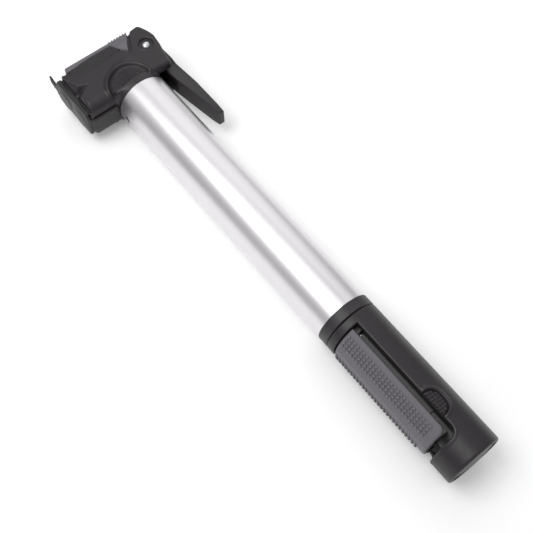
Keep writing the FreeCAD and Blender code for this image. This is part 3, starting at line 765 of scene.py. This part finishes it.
# ---- handle -------------------------------------------------------------------------------------------------
@dataclass
class Handle:
    """Handle shell, end cap and fold-out grip. Lengths in millimetres, angles in degrees from the valve side."""

    shop: Workshop
    radius: float = 14.2
    bore: float = 12.4
    front: float = 84.0
    end: float = 163.7
    turn_deg: float = -16.0
    slot_half: float = 68.0
    slot_x: tuple[float, float] = (88.3, 151.1)
    grip_half: float = 55.0
    grip_x: tuple[float, float] = (88.7, 147.6)
    grip_r: float = 14.1
    grip_bore: float = 12.65
    scoop_x: float = 135.8
    plug_r: float = 12.25
    dome_r: float = 60.0

    @staticmethod
    def around(y: np.ndarray, z: np.ndarray) -> np.ndarray:
        """Angle from the grip's middle, in degrees, without sign."""
        return np.degrees(np.abs(np.arctan2(z, -y)))

    @property
    def edge(self) -> float:
        """Arc length from the grip's middle to the recess's edge."""
        return math.radians(self.slot_half) * self.radius

    def from_scoop(self, x: np.ndarray, arc: np.ndarray) -> np.ndarray:
        """Distance from the finger scoop's middle, measured so that its outline is a soft square."""
        return (np.abs(x - self.scoop_x) ** 2.5 + np.abs(arc - self.edge) ** 2.5) ** 0.4

    def slot_field(self, x: np.ndarray, arc: np.ndarray) -> np.ndarray:
        """Outline of the grip's recess, unrolled: arc is the length round the shell."""
        half = self.edge
        lo, hi = self.slot_x
        corners = ((lo, -half), (hi, -half), (hi, half), (lo, half))
        sharp = outline(x, arc, corners)
        soft = outline(x, arc, corners, 4.5)
        return np.where(x > 120.0, soft, sharp)

    def shell_field(self, x: np.ndarray, y: np.ndarray, z: np.ndarray) -> np.ndarray:
        """Solid of the shell before its turn."""
        radius = np.hypot(y, z)
        arc = np.radians(self.around(y, z)) * self.radius
        slot = self.slot_field(x, arc)
        low_end = step_up(x, 143.0, 148.0)
        lip = 0.22 * bump(slot, 0.9, 0.6) * low_end
        from_scoop = self.from_scoop(x, arc)
        rim = 0.4 * bump(from_scoop, 7.2, 0.7) * step_up(arc, self.edge + 0.2, self.edge + 1.6)
        scoop = step_up(-from_scoop, -6.7, -6.0) * 1.2
        outer = radius - self.radius - lip - rim + scoop
        outer = smooth_max(outer, x - (self.end - 0.5), 1.5)
        outer = smooth_max(outer, self.front - x, 0.7)
        shell = np.maximum(outer, self.bore - radius)
        return smooth_max(shell, -slot, 0.55)

    def scoop_field(self, x: np.ndarray, y: np.ndarray, z: np.ndarray) -> np.ndarray:
        """Pair of thin studded plates in the floors of the finger scoops, before the turn."""
        radius = np.hypot(y, z)
        arc = np.radians(self.around(y, z)) * self.radius
        face = np.maximum(self.from_scoop(x, arc) - 6.1, self.edge + 0.35 - arc)
        plate = smooth_max(face, np.abs(radius - 12.95) - 0.4, 0.2)
        return plate - 0.6 * knurl(x, arc, 1.6) * step_up(-face, 0.0, 0.5) * step_up(radius, 12.9, 13.2)

    def cap_field(self, x: np.ndarray, y: np.ndarray, z: np.ndarray) -> np.ndarray:
        """Solid of the domed end plug."""
        radius = np.hypot(y, z)
        dome = np.sqrt((x - self.end + self.dome_r) ** 2 + radius ** 2) - self.dome_r
        return smooth_max(smooth_max(radius - self.plug_r, dome, 0.5), 157.0 - x, 0.3)

    def pad_field(self, x: np.ndarray, y: np.ndarray, z: np.ndarray) -> np.ndarray:
        """Solid of the grey soft skin before its turn."""
        radius = np.hypot(y, z)
        signed = np.degrees(np.arctan2(z, -y))
        arc = np.radians(signed) * self.grip_r
        half = math.radians(self.grip_half) * self.grip_r
        lo, hi = self.grip_x
        corners = ((lo, -half), (hi, -half), (hi, half), (lo, half))
        face = np.where(x > 120.0, outline(x, arc, corners, 3.4), outline(x, arc, corners, 0.3))
        seam = 0.16 * bump(arc, 0.0, 0.45)
        shell = np.maximum(radius - self.grip_r - seam, self.grip_bore - radius)
        return smooth_max(shell, face, 1.9)

    def studs(self) -> bpy.types.Object:
        """Rows of raised studs on both flanks of the grip, by a node tree."""
        layout = StudLayout()
        tree = stud_tree(layout)
        parts = []
        for number, side in enumerate((1.0, -1.0)):
            base = plain_object(f"stud_field_{number}", np.zeros((1, 3)), [])
            modifier = base.modifiers.new("studs", "NODES")
            modifier.node_group = tree
            values = layout.inputs(side) | {"Finish": self.shop.finishes[Slot.GREY_RUBBER]}
            for item in tree.interface.items_tree:
                if item.name in values and item.in_out == "INPUT":
                    modifier[item.identifier] = values[item.name]
            graph = bpy.context.evaluated_depsgraph_get()
            made = bpy.data.meshes.new_from_object(base.evaluated_get(graph), depsgraph=graph)
            parts.append(np.array([v.co for v in made.vertices]) / MM)
            parts.append([tuple(p.vertices) for p in made.polygons])
            bpy.data.objects.remove(base)
        points = np.concatenate([parts[0], parts[2]])
        shift = len(parts[0])
        faces = parts[1] + [tuple(v + shift for v in face) for face in parts[3]]
        turn = Matrix.Rotation(math.radians(self.turn_deg), 3, "X")
        turned = points @ np.array(turn).T
        mesh = bpy.data.meshes.new("grip_studs")
        mesh.from_pydata((turned * MM).tolist(), [], faces)
        mesh.shade_smooth()
        piece = bpy.data.objects.new("grip_studs", mesh)
        bpy.context.scene.collection.objects.link(piece)
        return piece

    def build(self) -> None:
        """Makes every piece of the handle."""
        grey, plastic = Slot.GREY_RUBBER, Slot.BLACK_PLASTIC
        for skin in (
            Skin("handle_skin", self.shell_field, 0.38, (82.8, -15.8, -15.8), (164.6, 15.8, 15.8), plastic,
                 "handle", ("handle_shell",), self.turn_deg),
            Skin("finger_scoop_grips", self.scoop_field, 0.22, (128.6, -6.2, -14.8), (143.0, 9.6, 14.8), plastic,
                 "handle", (), self.turn_deg),
            Skin("handle_end_plug", self.cap_field, 0.45, (156.0, -13.2, -13.2), (164.9, 13.2, 13.2), plastic,
                 "handle", ("handle_end_cap",)),
            Skin("grip_skin", self.pad_field, 0.32, (87.6, -15.4, -13.2), (148.8, -6.2, 13.2), grey,
                 "grip", ("grip_pad",), self.turn_deg),
        ):
            self.shop.make(skin)
        self.shop.place(self.studs(), grey, "grip")


@dataclass(frozen=True)
class StudLayout:
    """Where the grip's studs stand and how big one is. Lengths in metres, angles in radians."""

    rows: int = 27
    columns: int = 4
    row_pitch: float = 0.00197
    column_pitch: float = 0.124
    first_row: float = 0.0908
    first_angle: float = 0.315
    radius: float = 0.01412
    sides: int = 10
    top_r: float = 0.00044
    foot_r: float = 0.00072
    height: float = 0.0007

    def inputs(self, side: float) -> dict[str, float]:
        """Values of the node tree's inputs for one flank.

        Args:
            side: 1 or -1, the flank.

        Returns:
            Input name to value.
        """
        return {"Rows": self.rows, "Columns": self.columns, "Row pitch": self.row_pitch,
                "Column pitch": side * self.column_pitch, "First row": self.first_row,
                "First angle": side * self.first_angle, "Radius": self.radius}


def stud_tree(layout: StudLayout) -> bpy.types.NodeTree:
    """Node tree that sets studs in rows round the barrel's axis.

    Args:
        layout: the studs' places and size, which also give the inputs' defaults.

    Returns:
        The tree, with named inputs for the rows, columns, pitches, place and finish.
    """
    tree = bpy.data.node_groups.new("stud_rows", "GeometryNodeTree")
    face = tree.interface
    face.new_socket("Geometry", in_out="INPUT", socket_type="NodeSocketGeometry")
    for name, value in layout.inputs(1.0).items():
        kind = "Int" if isinstance(value, int) else "Float"
        face.new_socket(name, in_out="INPUT", socket_type=f"NodeSocket{kind}").default_value = value
    face.new_socket("Finish", in_out="INPUT", socket_type="NodeSocketMaterial")
    face.new_socket("Geometry", in_out="OUTPUT", socket_type="NodeSocketGeometry")
    n = Nodes(tree)
    inlet = n.add("NodeGroupInput").outputs
    grid = n.add("GeometryNodeMeshGrid", {"Vertices X": inlet["Rows"], "Vertices Y": inlet["Columns"]})
    number = n.add("GeometryNodeInputIndex").outputs[0]
    columns = inlet["Columns"]
    row = n.math("FLOOR", n.math("DIVIDE", number, columns))
    column = n.math("SUBTRACT", number, n.math("MULTIPLY", row, columns))
    along = n.math("ADD", inlet["First row"], n.math("MULTIPLY", row, inlet["Row pitch"]))
    angle = n.math("ADD", inlet["First angle"], n.math("MULTIPLY", column, inlet["Column pitch"]))
    y = n.math("MULTIPLY", n.math("MULTIPLY", n.math("COSINE", angle), -1.0), inlet["Radius"])
    z = n.math("MULTIPLY", n.math("SINE", angle), inlet["Radius"])
    place = n.add("ShaderNodeCombineXYZ", {"X": along, "Y": y, "Z": z}).outputs[0]
    outward = n.add("ShaderNodeCombineXYZ", {"X": 0.0, "Y": y, "Z": z}).outputs[0]
    points = n.add("GeometryNodeMeshToPoints", {"Mesh": grid.outputs["Mesh"], "Position": place})
    stud = n.add("GeometryNodeMeshCone", {"Vertices": layout.sides, "Side Segments": 1, "Fill Segments": 1,
                                          "Radius Top": layout.top_r, "Radius Bottom": layout.foot_r,
                                          "Depth": layout.height})
    turn = n.add("FunctionNodeAlignRotationToVector", {"Vector": outward}, axis="Z")
    placed = n.add("GeometryNodeInstanceOnPoints", {"Points": points.outputs[0], "Instance": stud.outputs["Mesh"],
                                                    "Rotation": turn.outputs[0]})
    real = n.add("GeometryNodeRealizeInstances", {"Geometry": placed.outputs[0]})
    dressed = n.add("GeometryNodeSetMaterial", {"Geometry": real.outputs[0], "Material": inlet["Finish"]})
    n.add("NodeGroupOutput", {"Geometry": dressed.outputs[0]})
    return tree


# ---- studio -------------------------------------------------------------------------------------------------
@dataclass(frozen=True)
class Studio:
    """Floor, lights and camera. Places in metres, lamps in watts."""

    key_at: tuple[float, float, float] = (-0.12, -0.24, 0.62)
    key_size: float = 0.42
    key_watts: float = 2.3
    fill_at: tuple[float, float, float] = (-0.5, 0.55, 0.5)
    fill_size: float = 0.8
    fill_watts: float = 1.3
    sky_low: float = 0.32
    sky_high: float = 0.66
    floor_gap_mm: float = 0.05
    floor_reach_mm: float = 3000.0
    floor_glow: float = 0.14
    camera_at: tuple[float, float, float] = (0.1847, -0.1291, 0.3749)
    right: tuple[float, float, float] = (0.62410, 0.78134, -0.0002)
    up: tuple[float, float, float] = (-0.69738, 0.55715, 0.45083)
    forward: tuple[float, float, float] = (-0.35236, 0.28122, -0.89261)
    lens_mm: float = 60.79

    def build(self) -> None:
        """Makes the floor, the lights and the camera."""
        bpy.context.scene.view_settings.view_transform = "Standard"
        self._floor()
        self._world()
        self._lamp("key", self.key_at, self.key_size, self.key_watts)
        self._lamp("fill", self.fill_at, self.fill_size, self.fill_watts)
        self._camera()

    def _camera(self) -> None:
        """Camera that sees the pump from above its side."""
        data = bpy.data.cameras.new("camera")
        data.lens = self.lens_mm
        data.sensor_width = 36.0
        data.clip_start = 0.01
        view = bpy.data.objects.new("camera", data)
        axes = Matrix((self.right, self.up, tuple(-v for v in self.forward))).transposed().to_4x4()
        view.matrix_world = Matrix.Translation(self.camera_at) @ axes
        bpy.context.scene.collection.objects.link(view)
        bpy.context.scene.camera = view

    def _floor(self) -> None:
        """Plain pale floor just under the pump."""
        level = CAD_BOX[0].z / MM - self.floor_gap_mm
        reach = self.floor_reach_mm
        corners = [(-reach, -reach, level), (reach, -reach, level), (reach, reach, level), (-reach, reach, level)]
        floor = plain_object("floor", np.array(corners), [(0, 1, 2, 3)])
        made = bpy.data.materials.new("pale_floor")
        made.use_nodes = True
        n = Nodes(made.node_tree)
        shader = made.node_tree.nodes["Principled BSDF"]
        place = n.add("ShaderNodeTexCoord").outputs["Object"]
        haze = n.add("ShaderNodeTexNoise", {"Vector": place, "Scale": 3.0}).outputs["Fac"]
        tone = n.add("ShaderNodeMapRange", {"Value": haze, "To Min": 0.93, "To Max": 0.96}).outputs["Result"]
        made.node_tree.links.new(tone, shader.inputs["Base Color"])
        shader.inputs["Roughness"].default_value = 0.9
        shader.inputs["Emission Color"].default_value = (1.0, 1.0, 1.0, 1)
        shader.inputs["Emission Strength"].default_value = self.floor_glow
        floor.data.materials.append(made)

    def _world(self) -> None:
        """Soft white light from all round, brighter from above."""
        world = bpy.data.worlds.new("studio")
        world.use_nodes = True
        n = Nodes(world.node_tree)
        back = world.node_tree.nodes["Background"]
        height = n.add("ShaderNodeSeparateXYZ", {0: n.add("ShaderNodeTexCoord").outputs["Generated"]}).outputs["Z"]
        sky = n.add("ShaderNodeMapRange", {"Value": height, "From Min": 0.0, "From Max": 0.9,
                                           "To Min": self.sky_low, "To Max": self.sky_high}).outputs["Result"]
        back.inputs["Color"].default_value = (1.0, 0.99, 1.0, 1)
        world.node_tree.links.new(sky, back.inputs["Strength"])
        bpy.context.scene.world = world

    @staticmethod
    def _lamp(name: str, place: Sequence[float], size: float, watts: float) -> None:
        """Adds a soft square lamp that points at the middle of the barrel."""
        data = bpy.data.lights.new(name, "AREA")
        data.size = size
        data.energy = watts
        lamp = bpy.data.objects.new(name, data)
        aim = -Vector(place)
        lamp.matrix_world = Matrix.Translation(place) @ aim.to_track_quat("-Z", "Y").to_matrix().to_4x4()
        bpy.context.scene.collection.objects.link(lamp)


def main() -> None:
    """Builds the studio and the pump."""
    logging.basicConfig(level=logging.INFO, format="%(message)s")
    Studio().build()
    shop = Workshop()
    shop.dress_frame()
    Head(shop=shop).build()
    Handle(shop=shop).build()


if __name__ == "__main__":
    main()
